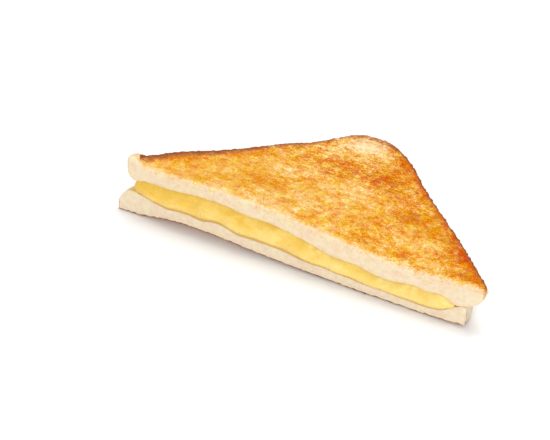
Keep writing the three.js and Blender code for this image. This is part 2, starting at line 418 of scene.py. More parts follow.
def make_piece(name, points, fields, material, node):
    """Puts a tube of closed loops (mm) into a mesh (m), with a float attribute for each field and
    the given material, hangs it on the body and hides the imported part of its node."""
    columns, steps = points.shape[:2]
    middles = np.stack([points[0].mean(axis=0), points[-1].mean(axis=0)])
    verts = np.concatenate([points.reshape(-1, 3), middles]) + frame_shift()
    faces = loop_faces(columns, steps)
    mesh = bpy.data.meshes.new(name)
    mesh.vertices.add(len(verts))
    mesh.vertices.foreach_set("co", (verts * MM).astype(np.float32).ravel())
    mesh.loops.add(faces.size)
    mesh.loops.foreach_set("vertex_index", faces.astype(np.int32).ravel())
    mesh.polygons.add(len(faces))
    mesh.polygons.foreach_set("loop_start", np.arange(0, faces.size, 4, dtype=np.int32))
    mesh.polygons.foreach_set("use_smooth", np.ones(len(faces), dtype=bool))
    for field, values in fields.items():
        ends = [values[0].mean(), values[-1].mean()]
        data = np.concatenate([values.ravel(), ends]).astype(np.float32)
        mesh.attributes.new(field, "FLOAT", "POINT").data.foreach_set("value", data)
    mesh.update(calc_edges=True)
    if mesh.validate():
        raise RuntimeError(f"{name} has faces that Blender had to mend")
    mesh.materials.append(material)
    piece = add_object(name, mesh)
    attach(piece, BODY)
    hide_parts(node)


def slice_surface(shape, lower_face, upper_face, steps):
    """The smooth closed surface of a slice of bread, and where each of its points lies on it.

    Each section goes up the cut face, back along the over face, down the crust side, which
    bulges by a sine, and forward along the under face. Its edges and ends are round_over.

    Returns points [column, step, xyz] and a dict of arrays: the side of the section, up (0 at
    the under face, 1 at the over), the slice's height there, and in mm the distances from_cut,
    from_crust, from_left and from_end, the nearer end.
    """
    start = -CUT / 2 + end_inset(shape["left"])
    end = CUT / 2 - end_inset(shape["right"]) - shape["right_gap"]
    length = end - start - 2 * END_FLAT
    reaches = (shape["left"]["radius"], shape["right"]["radius"] * 0.6)
    along = start + END_FLAT + stations(length, reaches, SLICE_COLUMNS)[:, None]

    full = bread_depth(along)
    near_left, far_left = end_span(along - start, shape["left"], full)
    near_right, far_right = end_span(end - along, shape["right"], full)
    near = np.maximum(near_left, near_right)
    far = np.minimum(far_left, far_right)
    depth = far - near
    fullness = np.clip(depth / FULL_SECTION, 0, 1)
    x = along + shape["shift"]
    facing_x, facing_y = crust_facing(along)
    missing = shape["squarer"] * (1 - smoothstep(end - along, *SQUARE_SPAN))
    crust_round = fullness * (1 - missing)
    tip = np.zeros_like(along)
    tip[0], tip[-1] = -1.0, 1.0

    def face(y, name, edge_line):
        """Height of the under or over face at depth y, less its roundings."""
        cut_depth, crust_depth = shape["cut_edge"][name], shape["crust_edge"][name] * crust_round
        drop = round_over(y - near, (cut_depth, cut_depth * fullness))
        drop = drop + round_over((far - y) / math.sqrt(2), (crust_depth, crust_depth))
        drop = drop + round_over(along - start, shape["left"][name])
        drop = drop + round_over(end - along, shape["right"][name])
        return edge_line(x, y) + (drop if name == "under" else -drop)

    def place(y, up, on_crust):
        """Points at depth y and share `up` of the way from the under to the over face."""
        z = lerp(face(y, "under", lower_face), face(y, "over", upper_face), up)
        belly = np.sin(math.pi * up)
        out = CRUST_BULGE * belly * fullness * on_crust
        return np.stack([x + out * facing_x + tip * END_BULGE * belly + 0 * y,
                         y + out * facing_y, z + 0 * y], axis=-1)

    cut_up = np.arange(steps["cut"]) / steps["cut"]
    crust_up = 1 - np.arange(steps["crust"]) / steps["crust"]
    edge_reach = (shape["cut_edge"]["over"], shape["crust_edge"]["over"] * 1.5)
    over_y = near + stations(depth, edge_reach, steps["over"])[:, :-1]
    under_y = near + stations(depth, edge_reach, steps["under"])[:, :0:-1]
    level = np.ones_like(along)
    sides = [  # in the order of CUT_FACE, OVER_FACE, CRUST_SIDE, UNDER_FACE
        (near * np.ones_like(cut_up), cut_up * level, 0.0),
        (over_y, np.ones_like(over_y), 0.0),
        (far * np.ones_like(crust_up), crust_up * level, 1.0),
        (under_y, np.zeros_like(under_y), 0.0),
    ]
    points = np.concatenate([place(*side) for side in sides], axis=1)
    y = np.concatenate([side[0] for side in sides], axis=1)
    where = {
        "side": np.concatenate([np.full_like(s[0], n) for n, s in enumerate(sides)], axis=1),
        "from_cut": y - near,
        "from_crust": (far - y) / math.sqrt(2),
        "up": np.concatenate([side[1] for side in sides], axis=1),
        "from_left": along - start + 0 * y,
        "from_end": np.minimum(along - start, end - along) + 0 * y,
        "height": face(y, "over", upper_face) - face(y, "under", lower_face),
    }
    return points, where


# ---- Bread: relief and browning ----
BASE_TONE = 0.472  # browning of the toast, before its patches and clouds
LEVEL_TONE = 0.47  # browning at which the toast is neither raised nor sunk
# Patches as (x, y, spread along, spread across, amount): browning that the pan added or left
# out on the toasted top and on the toasted underside, and toast missing at the back corner.
TOP_PATCHES = [
    (8, 46, 12, 5.5, 0.30), (-9, 47, 8, 5, 0.24), (24, 40, 9, 5, 0.13), (14, 60, 4.5, 7, 0.26),
    (31, 27, 8, 4.5, 0.20), (63, 15, 8, 5, 0.26), (45, 13.5, 5, 1.6, 0.14),
    (42, 5.5, 3, 1.6, 0.20), (-55, 16, 5, 3, 0.05), (-34, 36, 6, 5, 0.10), (-46, 29, 5, 3, 0.12),
    (-28, 18, 11, 4, 0.07), (16, 13, 9, 4, 0.08), (51, 23, 7, 5, 0.14), (-4, 63, 9, 5, -0.32),
    (-15, 57, 5, 5, -0.12), (8, 34, 10, 5.5, -0.16), (-24, 33, 6, 5, -0.12),
    (-5, 15, 6, 5, -0.12), (-40, 16, 6, 4, -0.10), (44, 15.5, 7, 2.4, -0.16), (4, 3, 14, 3, 0.06),
    (-62, 6, 10, 3, -0.08), (42, 22, 8, 8, 0.08), (24, 14, 6, 8, 0.07), (-30, 16, 6, 5, 0.16),
    (-14, 12, 7, 6, -0.10), (64, 4, 8, 4, 0.24), (8, 24, 10, 7, -0.07), (-45, 4, 7, 3, 0.20),
    (26, 5, 6, 4, 0.17), (17, 49, 5, 6, 0.18), (35, 31, 5, 6, 0.17), (27, 28, 4, 3.5, 0.12),
    (-63, 9, 5, 4, 0.16),
]
UNDERSIDE_PATCHES = [
    (-30, 22, 16, 9, 0.22), (24, 36, 14, 10, 0.24), (0, 60, 10, 7, -0.25), (52, 14, 10, 6, -0.2),
    (-58, 8, 9, 5, 0.15), (0, 12, 18, 6, -0.12), (36, 20, 8, 6, 0.12),
]
BARE_PATCHES = [(-4, 67, 10, 7, 0.45)]


def patches(x, y, listed):
    """Sum of patches, each the product of a bell along the cut and one across it."""
    return sum(amount * bell(x - at_x, along) * bell(y - at_y, across)
               for at_x, at_y, along, across, amount in listed)


def inner_side(shape):
    """The face of a slice that lies on the cheese, across from the toasted one."""
    return UNDER_FACE if shape["toasted"] == OVER_FACE else OVER_FACE


def baked_places(points, where, shape):
    """Where each point lies, with what decides how it baked.

    drop: mm from the toasted face; past_edge: mm from that face's edge, below 0 past it;
    past_ear: 0 on the curled end, 1 beyond it; right_leg: 0 on the left crust side, 1 on the
    right; tip: 1 at the two pale ends of the cut; outline: a thin crust round them; seared: a
    ragged line at the foot of the lower slice's cut face; calm: below 1 where the left part
    browned evenly.
    """
    x, side, seed, toasted = points[..., 0], where["side"], shape["seed"], shape["toasted"]
    from_end = where["from_end"]
    drop = (1 - where["up"] if toasted == OVER_FACE else where["up"]) * where["height"]
    past_edge = np.where(side == toasted, where["from_cut"], -drop)
    past_edge = np.where(side == CRUST_SIDE, 2.5 - 1.5 * drop, past_edge)  # over its rounding
    from_ear = where["from_left"] + 1.5 * cloud(points, 2.5, seed + 9, 2)
    ragged_end = from_end + 2.5 * cloud(points, 3.0, seed + 17, 2)
    outline = 0.75 * bell(from_end, np.where(x < 0, 1.2, 0.8))
    line = 0.18 + 0.38 * cloud(points, (2.2, 2.2, 1.0), seed + 15, 2)
    seared = np.where(side == CUT_FACE, 1 - smoothstep(drop, line, line + 0.2), 0.0)
    return {
        **where,
        "drop": drop,
        "past_edge": past_edge,
        "past_ear": smoothstep(from_ear, *shape["ear"]),
        "right_leg": smoothstep(x, -4, 16),
        "tip": (side != toasted) * (1 - smoothstep(ragged_end, 1.5, 12.0)),
        "outline": outline * ((toasted == OVER_FACE) | (x < 0)),
        "seared": seared * (toasted == UNDER_FACE),
        "calm": lerp(0.62, 1.0, smoothstep(x, -42, -14)),
    }


def toast_field(points, at, shape):
    """1 on the toasted face, fading past its edge over the slice's wrap. The upper slice's cut
    face has a faint bloom below the edge, which falls off as a bell. The curled end and the
    back corner are toasted less, and the pale tips of the crust side hardly at all."""
    side, past_ear = at["side"], at["past_ear"]
    start, full, ragged = shape["wrap"]
    ragged_edge = at["past_edge"] + ragged * cloud(points, 3.2, shape["seed"] + 1, 3, 0.7)
    toast = smoothstep(ragged_edge, start, full)
    blooms = (side == CUT_FACE) & (shape["toasted"] == OVER_FACE)
    toast = np.maximum(toast, 0.36 * bell(at["drop"], 4.5) * blooms)
    toast = np.maximum(toast * past_ear, 0.45 * (1 - past_ear))
    toast *= 1 - patches(points[..., 0], points[..., 1], BARE_PATCHES)
    toast = np.where(side == inner_side(shape), 0.0, toast)
    return toast * (1 - 0.9 * at["tip"] * (side == CRUST_SIDE))


def crust_field(points, at, shape):
    """1 within a crust's thickness of the outline, thicker at the left, and fading over a few
    times that thickness; less at the pale tips and the curled end. The outline of the ends and
    the seared line count as crust too."""
    right_leg = at["right_leg"]
    left_thick = lerp(2.3, 1.7, smoothstep(points[..., 0], -60, -18))
    thick = lerp(left_thick, 0.9, right_leg)
    thick = thick * (1 + 0.3 * cloud(points, 4.0, shape["seed"] + 2, 2))
    fade = lerp(3.7, 2.6, right_leg)
    crust = 1 - smoothstep(at["from_crust"], 0.8 * thick, fade * thick)
    crust *= 1 - 0.9 * at["tip"]
    crust *= np.where(at["side"] == shape["toasted"], at["past_ear"], 1)
    return np.maximum(np.maximum(crust, at["outline"]), at["seared"])


def browning_field(points, at, shape, listed):
    """How brown the bread is: a base tone, the listed patches, two sizes of clouds and pale
    holes, with a darker rim that falls off from the crust, and the slice's own tone along the
    cut. The crust side has a tone of its own, darkest next to the toast. The seared line is
    darker, and the tips, the outline of the ends and the curled end are paler."""
    x, seed = points[..., 0], shape["seed"]
    calm, right_leg, from_crust = at["calm"], at["right_leg"], at["from_crust"]
    browning = BASE_TONE + patches(x, points[..., 1], listed)
    browning += 0.22 * calm * cloud(points, (8.5, 7, 7), seed + 3, 2, 0.6)
    browning += 0.18 * calm * cloud(points, (3.4, 2.6, 2.6), seed + 4, 2, 0.7)
    browning -= 0.16 * holes(points, (3.6, 3.0, 3.0), seed + 5, 0.4)
    left_rim = lerp(0.80, 0.18, smoothstep(x, -50, -12)) * fade_out(from_crust - 1.3, 1.9)
    rim = lerp(left_rim, 0.74 * fade_out(from_crust - 0.7, 1.9), right_leg)
    browning += rim * (1 + 0.5 * cloud(points, 4.0, seed + 6, 2))
    browning += shape["edge_tone"] * fade_out(at["past_edge"], lerp(3.2, 2.1, right_leg))
    skin = 0.58 + 0.34 * fade_out(at["drop"], 2.2) + 0.22 * cloud(points, (9, 9, 3), seed + 10, 3)
    browning = np.where(at["side"] == CRUST_SIDE, skin, browning)
    paler = 0.6 * at["tip"] + 0.7 * at["outline"] + 0.34 * (1 - at["past_ear"])
    return np.clip(browning + 0.4 * at["seared"] - paler, 0, 1)


def bread_fields(points, where, shape, listed):
    """Fields of the bread's finish: toast, crust, browning, pit (the open pores) and stain (how
    far cheese has soaked in, on the inner face and the edge of the cut next to it) from 0 to 1,
    and lively, from 0.3 to 1.5, which scales the toast's grain: more towards the back corner
    and the right end, and in clouds."""
    x, y, seed = points[..., 0], points[..., 1], shape["seed"]
    at = baked_places(points, where, shape)
    side = at["side"]
    stain = np.where(side == inner_side(shape), 0.8, 0.0)
    stain = np.where(side == CUT_FACE, 0.6 * fade_out(at["height"] - at["drop"], 0.5), stain)
    lively = lerp(0.68, 1.12, smoothstep(y, 20, 58)) + 0.14 * smoothstep(x, 30, 62)
    lively = lively * lerp(1.0, at["calm"], 0.7) + 0.25 * cloud(points, 11.0, seed + 16, 2)
    return {
        "toast": toast_field(points, at, shape),
        "crust": crust_field(points, at, shape),
        "browning": browning_field(points, at, shape, listed),
        "pit": holes(points, (1.9, 1.9, 1.2), seed + 8, 0.55),
        "stain": stain * smoothstep(at["from_end"], 3.0, 8.0),
        "lively": np.clip(lively, 0.3, 1.5),
    }


def bread_relief(points, where, fields, shape, rugged):
    """Height in mm, along the normal, of the bread's own surface: crumb is torn and open-pored,
    toast is gently waved, pitted and raised where it is browner, and the crust and the toast
    next to it are wrinkled, more on the right side. A notch lies behind the curled end. The
    relief fades out at the two ends."""
    toast, crust, seed = fields["toast"], fields["crust"], shape["seed"]
    crumb = np.clip(1 - toast - crust, 0, 1)
    torn = 0.16 * cloud(points, (4.5, 4.5, 2.6), seed + 11, 3) - 0.20 * fields["pit"]
    pressed = 0.22 * cloud(points, 14.0, seed + 12, 2) + 0.16 * cloud(points, 3.0, seed + 13, 3)
    pressed = pressed + 0.30 * (fields["browning"] - LEVEL_TONE)
    rugged = rugged * lerp(0.7, 1.3, smoothstep(points[..., 0], -5, 25))
    crags = rugged * cloud(points, (2.0, 2.0, 1.8), seed + 14, 3, 0.75)
    height = crumb * torn + toast * (1 - crust) * pressed + crust * (crags - 0.1)
    height = height + toast * fade_out(where["from_crust"], 2.0) * (1 - crust) * crags
    behind_ear = bell(where["from_left"] - 4.1, 1.1) * smoothstep(where["from_cut"], 1.0, 3.5)
    behind_ear = shape["notch"] * behind_ear
    notched = np.where(where["side"] == CRUST_SIDE, where["up"], toast)
    return (height - behind_ear * notched) * smoothstep(where["from_end"], 0.0, 2.5)


def make_slice(shape, faces, steps, listed, crag):
    """Points and fields of a finished slice: the smooth surface, moved along its normals by the
    relief. The face on the cheese only has hollows, of half the depth, and a toasted underside
    stands on its highest spots."""
    points, where = slice_surface(shape, *faces, steps)
    fields = bread_fields(points, where, shape, listed)
    relief = bread_relief(points, where, fields, shape, crag)
    side = where["side"]
    relief = np.where(side == inner_side(shape), np.minimum(relief, 0) * 0.5, relief)
    standing = (side == UNDER_FACE) & (shape["toasted"] == UNDER_FACE)
    relief = np.where(standing, np.minimum(relief - 0.3, 0), relief)
    return points + relief[..., None] * loop_normals(points), fields


# ---- Cheese ----

def waves(x, listed):
    """Sum of sine waves, each with a height and its radians for each mm."""
    return sum(height * np.sin(radians * x) for height, radians in listed)


def cheese_surface(lip, sag):
    """The cheese: it fills the space between the slices, and a rounded lip hangs out of the cut.

    The lip's profile, at a share w of the way up, is y = -out swell (root + (1 - root) f) with
    the fold f = sin(pi w^0.85)^p, where root and the power p change evenly on the way up. Its
    foot hangs by (sag + drips) (1 - w)^2, and its upper edge laps over the bread in low bumps.
    The left end bulges by a sine and closes by a pinch.

    Returns points [column, step, xyz] and w for each of them.
    """
    left, right = CHEESE["left"] + CHEESE["left_gap"], CHEESE["right"]
    end_round = CHEESE["end_round"]
    x = left + stations(right - left, (end_round / 2, end_round / 2), CHEESE_COLUMNS)[:, None]
    from_end = np.minimum(x - left, right - x) + 0.05
    fill = 1 - round_over(from_end, (end_round, 1.0))
    out = fill * (lip + waves(x, CHEESE["lip_waves"]))
    behind = CHEESE["recess"] + waves(x, CHEESE["recess_waves"])
    back = np.maximum(CHEESE["least_depth"], (bread_depth(x) - behind * math.sqrt(2)) * fill)

    line = np.stack([x, 0 * x, 0 * x], axis=-1)
    drips = CHEESE["drips"] * cloud(line, 9.0, 301, 2)
    swell = 1 + CHEESE["swells"] * cloud(line, 6.0, 302, 2)
    least_lap, lap_bumps = CHEESE["laps"]
    lap = least_lap + lap_bumps * cloud(line, 4.2, 303, 2)
    end_out = CHEESE["end_bulge"] * fade_out(x - left, 1.6)
    pinch = round_over(x - left, CHEESE["pinch"])

    def inner(y, up):
        """Points between the slices."""
        depth = np.maximum(0, y)
        low = lower_inner(x, depth) - CHEESE["soak"]
        high = upper_inner(x, depth) + CHEESE["soak"]
        z = lerp(low, high, lerp(up, 0.5, pinch))
        return np.stack([x - end_out * np.sin(math.pi * up) + 0 * z, y + 0 * z, z], axis=-1)

    lip_up = np.arange(CHEESE_STEPS["lip"]) / CHEESE_STEPS["lip"]
    back_up = 1 - np.arange(CHEESE_STEPS["back"]) / CHEESE_STEPS["back"]
    root = lerp(*CHEESE["root"], lip_up)
    fold = np.sin(math.pi * lip_up**0.85) ** lerp(*CHEESE["fold_power"], lip_up)
    lip_points = inner(-out * swell * (root + (1 - root) * fold), lip_up)
    hang = (sag + drips) * fill * (1 - lip_up) ** 2
    lip_points[..., 2] += lap * fill * smoothstep(lip_up, 0.55, 1.0) - hang
    back_points = inner(back * np.ones_like(back_up), back_up)
    back_points[..., 1] += CHEESE["back_bulge"] * np.sin(math.pi * back_up) * fill
    face_y = stations(back, (0.5, 0.8), CHEESE_STEPS["face"])
    parts = [lip_points, inner(face_y[:, :-1], 1.0), back_points, inner(face_y[:, :0:-1], 0.0)]
    face_up = np.ones(face_y.shape[1] - 1)
    up = np.concatenate([lip_up, face_up, back_up, 0 * face_up])
    return np.concatenate(parts, axis=1), up * np.ones_like(x)


def make_cheese(lip, sag):
    """Points and fields of the finished cheese: outside the bread it has soft folds, a fine
    grain and a few bubbles. The fields are up, the share of the way up the lip, soft, the
    height of the folds, and paler, which rises from the left end to the right."""
    points, up = cheese_surface(lip, sag)
    x = points[..., 0]
    soft = cloud(points, (6.0, 6.0, 3.5), 311, 2)
    height = 0.28 * soft + 0.05 * cloud(points, 1.6, 312, 2) - 0.15 * holes(points, 2.6, 313, 0.05)
    outside = 1 - smoothstep(points[..., 1], -0.2, 0.6)
    moved = points + (height * outside)[..., None] * loop_normals(points)
    paler = smoothstep(x, -60, 50) - 0.5 * bell(x + 71, 9)
    return moved, {"up": up, "soft": 0.5 + 0.5 * soft, "paler": paler}


# ---- Materials ----

def from_srgb(display):
    """A display colour (0 to 255) as a linear one, by the sRGB curve."""
    def linear(share):
        return share / 12.92 if share <= 0.04045 else ((share + 0.055) / 1.055) ** 2.4

    return tuple(linear(value / 255) for value in display)


class Recipe:
    """A material's nodes, added one at a time. A value is a number, a colour or an output."""

    def __init__(self, name):
        self.material = bpy.data.materials.new(name)
        self.material.use_nodes = True
        self.tree = self.material.node_tree
        self.tree.nodes.clear()
        self.place = self.add("ShaderNodeTexCoord").outputs["Object"]

    def add(self, kind, inputs=(), **settings):
        """A node of a kind, with settings, and with inputs as pairs of socket and value."""
        node = self.tree.nodes.new(kind)
        for key, value in settings.items():
            setattr(node, key, value)
        for key, value in inputs:
            socket = node.inputs[key]
            if isinstance(value, bpy.types.NodeSocket):
                self.tree.links.new(value, socket)
            else:
                socket.default_value = (*value, 1.0) if socket.type == "RGBA" else value
        return node

    def field(self, name):
        """A float attribute of the mesh."""
        return self.add("ShaderNodeAttribute", attribute_name=name).outputs["Fac"]

    def math(self, operation, *values, clamp=False):
        """Numbers put together."""
        inputs = enumerate(values)
        return self.add("ShaderNodeMath", inputs, operation=operation, use_clamp=clamp).outputs[0]

    def plus(self, total, *products, clamp=False):
        """A number with the products of pairs of numbers added to it."""
        for pair in products[:-1]:
            total = self.math("MULTIPLY_ADD", *pair, total)
        return self.math("MULTIPLY_ADD", *products[-1], total, clamp=clamp)

    def noise(self, per_mm, detail, roughness, stretch=None):
        """Noise about 0 to 1, with its grains counted for each millimetre, and stretched along
        the axes by a mapping where one is given."""
        place = self.place
        if stretch:
            mapping = self.add("ShaderNodeMapping", (("Vector", place), ("Scale", stretch)))
            place = mapping.outputs[0]
        inputs = (("Vector", place), ("Scale", per_mm / MM), ("Detail", detail),
                  ("Roughness", roughness))
        return self.add("ShaderNodeTexNoise", inputs).outputs["Fac"]

    def pores(self, per_mm):
        """Distance to the nearest of scattered points: 0 in a pore's middle."""
        inputs = (("Vector", self.place), ("Scale", per_mm / MM), ("Smoothness", 0.3))
        return self.add("ShaderNodeTexVoronoi", inputs, feature="SMOOTH_F1").outputs["Distance"]

    def spread(self, value, low, high, to_low=0.0, to_high=1.0):
        """A value carried smoothly from one range to another."""
        inputs = (("Value", value), ("From Min", low), ("From Max", high),
                  ("To Min", to_low), ("To Max", to_high))
        return self.add("ShaderNodeMapRange", inputs, interpolation_type="SMOOTHSTEP").outputs[0]

    def tinted(self, colour, hue, saturation):
        """A colour with its hue moved, 0.5 for none, and its saturation multiplied."""
        inputs = (("Hue", hue), ("Saturation", saturation), ("Color", colour))
        return self.add("ShaderNodeHueSaturation", inputs).outputs["Color"]

    def mix(self, share, first, second):
        """Two colours put together: a mix node's factor and colours are its inputs 0, 6 and 7."""
        inputs = ((0, share), (6, first), (7, second))
        return self.add("ShaderNodeMix", inputs, data_type="RGBA").outputs[2]

    def ramp(self, value, stops):
        """A colour for each value, by stops of (place, colour)."""
        node = self.add("ShaderNodeValToRGB", (("Fac", value),))
        elements = node.color_ramp.elements
        while len(elements) < len(stops):
            elements.new(0.5)
        for element, (at, colour) in zip(elements, stops):
            element.position = at
            element.color = (*colour, 1.0)
        return node.outputs["Color"]

    def bump(self, height, distance_mm, strength, under=None):
        """A bumped normal, on top of another where one is given."""
        inputs = [("Height", height), ("Distance", distance_mm * MM), ("Strength", strength)]
        if under is not None:
            inputs.append(("Normal", under))
        return self.add("ShaderNodeBump", inputs).outputs["Normal"]

    def finish(self, colour, roughness, normal, **uniform):
        """The shader, with its uniform values on its own sockets."""
        inputs = [("Base Color", colour), ("Roughness", roughness), ("Normal", normal)]
        inputs += [(key.replace("_", " "), value) for key, value in uniform.items()]
        shader = self.add("ShaderNodeBsdfPrincipled", inputs)
        output = self.add("ShaderNodeOutputMaterial")
        self.tree.links.new(shader.outputs[0], output.inputs["Surface"])
        return self.material


def bread_material(name, bread):
    """Bread: cream crumb with pores, toast from pale to brown by the browning field, and crust.
    Grain and flakes, by as much as the lively field says, pale flecks and thin brown streaks
    move the tone along the ramps, and the grain breaks up the edges of toast and crust."""
    r = Recipe(name)
    grain = r.noise(0.34, 5.0, 0.95, (1.0, 1.3, 1.3))
    speck = r.noise(1.6, 3.0, 0.9)
    fine = r.math("SUBTRACT", grain, 0.5)
    finer = r.math("SUBTRACT", speck, 0.5)
    fleck = r.spread(r.pores(0.5), 0.30, 0.08)
    gathered = r.spread(r.noise(0.12, 2.0, 0.6), 0.44, 0.60)
    veins = r.math("SUBTRACT", r.noise(0.33, 2.0, 0.7, (1.0, 1.5, 1.5)), 0.5)
    streaks = r.spread(r.math("ABSOLUTE", veins), 0.03, 0.0)
    flakes = r.spread(r.noise(0.50, 3.0, 0.75, (1.0, 1.5, 1.5)), 0.42, 0.58, -0.5, 0.5)

    marks = r.plus(0.0, (fine, 1.9), (flakes, 0.20), (finer, 2.05))
    spots = r.math("MULTIPLY", fleck, gathered)
    tone = r.plus(r.field("browning"), (marks, r.field("lively")), (spots, -0.30),
                  (streaks, 0.10), clamp=True)
    toast = r.ramp(tone, [(0.04, bread.toast_pale), (0.27, bread.toast_light),
                          (0.49, bread.toast_golden), (0.70, bread.toast_brown),
                          (1.0, bread.toast_dark)])
    hue = r.spread(r.noise(0.23, 4.0, 0.8), 0.27, 0.73, 0.477, 0.521)
    richness = r.spread(r.noise(0.27, 4.0, 0.75), 0.25, 0.75, 0.915, 1.06)
    toast = r.tinted(toast, hue, richness)
    crust = r.ramp(tone, [(0.1, bread.crust_pale), (0.58, bread.crust_brown),
                          (1.0, bread.crust_dark)])

    mottle = r.spread(r.noise(0.55, 4.0, 0.8, (0.8, 1.0, 1.0)), 0.36, 0.64)
    crumb = r.mix(mottle, bread.crumb_light, bread.crumb_shade)
    crumb = r.tinted(crumb, r.math("ADD", hue, 0.005), 1.02)
    crumb = r.mix(r.field("stain"), crumb, bread.stain)
    # painted shade in the crumb's sunken pores, with a random mottle from the grain
    hollow = r.spread(r.math("ADD", r.field("pit"), fine), 0.25, 0.9)
    crumb = r.mix(r.math("MULTIPLY", hollow, 0.4), crumb, bread.crumb_pore_shade)

    toast_share = r.spread(r.math("ADD", r.field("toast"), fine), 0.05, 0.95)
    crust_share = r.spread(r.plus(r.field("crust"), (fine, 1.2)), 0.35, 0.71)
    colour = r.mix(crust_share, r.mix(toast_share, crumb, toast), crust)
    normal = r.bump(speck, 0.25, 0.6, r.bump(grain, 0.8, 0.6))
    butter = r.math("MULTIPLY", toast_share, -0.5)
    roughness = r.plus(0.9, (butter, grain), clamp=True)
    return r.finish(colour, roughness, normal, Subsurface_Weight=0.08, Subsurface_Scale=1.0,
                    Subsurface_Radius=(0.0010, 0.0006, 0.0004), Specular_IOR_Level=0.02)


def cheese_material(name, cheese):
    """Melted cheese: painted shade in its folds, painted light on the lower, thicker part of the
    lip, paler in streaks and towards the right, and painted shade at the lip's foot and upper
    edge."""
    r = Recipe(name)
    up = r.field("up")
    flecks = r.noise(1.2, 3.0, 0.6)
    body = r.mix(r.spread(r.field("soft"), 0.2, 0.9), cheese.colour_shade, cheese.colour)
    # painted light: the lip is lighter below a quarter of the way up, fading to its body colour by
    # 0.8
    thick = r.spread(up, 0.80, 0.25)
    streaks = r.spread(r.noise(0.22, 3.0, 0.7, (0.5, 1.0, 1.0)), 0.36, 0.64, -0.34, 0.30)
    pale = r.plus(streaks, (thick, 0.55), (r.field("paler"), 0.7), clamp=True)
    body = r.mix(pale, body, cheese.colour_pale_and_lit)
    # painted shade: the lip's upper edge under the bread and its foot on the lower slice are
    # darkened
    colour = r.mix(r.spread(up, 0.80, 1.0, 0.0, 0.3), body, cheese.colour_painted_shade)
    colour = r.mix(r.spread(up, 0.22, 0.10, 0.0, 0.8), colour, cheese.colour_painted_shade)
    roughness = r.spread(flecks, 0.3, 0.7, 0.24, 0.40)
    return r.finish(colour, roughness, r.bump(flecks, 0.06, 0.6), Subsurface_Weight=0.25,
                    Subsurface_Scale=1.0, Subsurface_Radius=(0.003, 0.0016, 0.0005),
                    Specular_IOR_Level=0.4)


def floor_material(name, colour):
    """Pale painted board, with a trace of unevenness."""
    r = Recipe(name)
    cloudy = r.noise(0.01, 2.0, 0.5)
    shade = tuple(value * 0.985 for value in colour)
    return r.finish(r.mix(cloudy, colour, shade), 0.8, r.bump(cloudy, 0.02, 0.1),
                    Specular_IOR_Level=0.1)


# ---- Settings ----

def number_setting(name, description, default, **kind):
    """A number, with what kind of number it is."""
    return bpy.props.FloatProperty(name=name, description=description, default=default, **kind)


def length_setting(name, description, metres):
    """A length."""
    return number_setting(name, description, metres, min=0.0, precision=5, unit="LENGTH")


def angle_setting(name, description, degrees):
    """An angle, kept in radians."""
    return number_setting(name, description, math.radians(degrees), unit="ROTATION")


def power_setting(name, description, watts):
    """The power of a light."""
    return number_setting(name, description, watts, min=0.0, unit="POWER")


def colour_setting(name, description, *display):
    """A colour, given as it looks on a screen and kept as a linear one."""
    return bpy.props.FloatVectorProperty(name=name, description=description, size=3,
                                         default=from_srgb(display), min=0.0, max=1.0,
                                         subtype="COLOR")


class BreadSettings(bpy.types.PropertyGroup):
    """Relief and colours of both slices."""

    crag: length_setting("Crag", "Height of the crust's crags and wrinkles", 0.0008)
    crumb_light: colour_setting("Crumb", "Crumb where it is cut", 226, 210, 186)
    crumb_shade: colour_setting("Crumb shade", "Darker mottle of the crumb", 221, 199, 171)
    # painted shade in the crumb's pores
    crumb_pore_shade: colour_setting("Crumb pores", "Painted shade in the crumb's pores", 212, 188, 157)
    stain: colour_setting("Cheese stain", "Crumb that the cheese has soaked into", 226, 186, 100)
    toast_pale: colour_setting("Palest toast", "Toast that hardly browned", 227, 212, 172)
    toast_light: colour_setting("Light toast", "Lightly browned toast", 223, 183, 100)
    toast_golden: colour_setting("Golden toast", "Most of the toast", 216, 157, 48)
    toast_brown: colour_setting("Brown toast", "Well browned patches", 203, 120, 2)
    toast_dark: colour_setting("Darkest toast", "Spots that nearly burned", 182, 82, 4)
    crust_pale: colour_setting("Pale crust", "Crust at the ends", 222, 190, 136)
    crust_brown: colour_setting("Brown crust", "Crust along the sides", 180, 110, 56)
    crust_dark: colour_setting("Dark crust", "Darkest crust", 135, 76, 44)


class CheeseSettings(bpy.types.PropertyGroup):
    """Lip and colours of the cheese."""

    lip: length_setting("Lip", "How far the cheese swells out of the cut", CHEESE["lip"] * MM)
    sag: length_setting("Sag", "How far the lip hangs over the lower slice", 0.0006)
    colour: colour_setting("Cheese", "Most of the cheese", 219, 181, 73)
    # paler cheese, and painted light on the lower part of the lip
    colour_pale_and_lit: colour_setting("Light cheese", "Paler cheese, also painted light on the lower lip", 226, 198, 114)
    colour_shade: colour_setting("Cheese folds", "Folds of the lip", 215, 172, 63)
    # painted shade at the lip's upper edge and at its foot
    colour_painted_shade: colour_setting("Cheese edge", "Painted shade at the lip's foot and upper edge", 186, 140, 66)


class StageSettings(bpy.types.PropertyGroup):
    """Floor, lights and camera."""

    floor_size: length_setting("Floor", "Side of the square floor", 4.0)
    floor_colour: colour_setting("Floor colour", "Plain pale floor", 236, 236, 236)
    sky: number_setting("Sky", "Strength of the even white light", 0.65, min=0.0)
    key: power_setting("Key light", "Power of the large soft light", 9.3)
    fill: power_setting("Fill light", "Power of the light in front", 5.8)
    side: power_setting("Side light", "Power of the light at the right", 0.8)
    lens: number_setting("Lens", "Focal length, in mm", 120.0, min=1.0, unit="CAMERA")
    distance: length_setting("Distance", "From the camera to the point it looks at", 0.6977)
    azimuth: angle_setting("Azimuth", "Camera's turn round the sandwich, from the front", 27.65)
    elevation: angle_setting("Elevation", "Camera's height above the horizon", 31.743)
    roll: angle_setting("Roll", "Camera's turn about its own axis", 3.22)


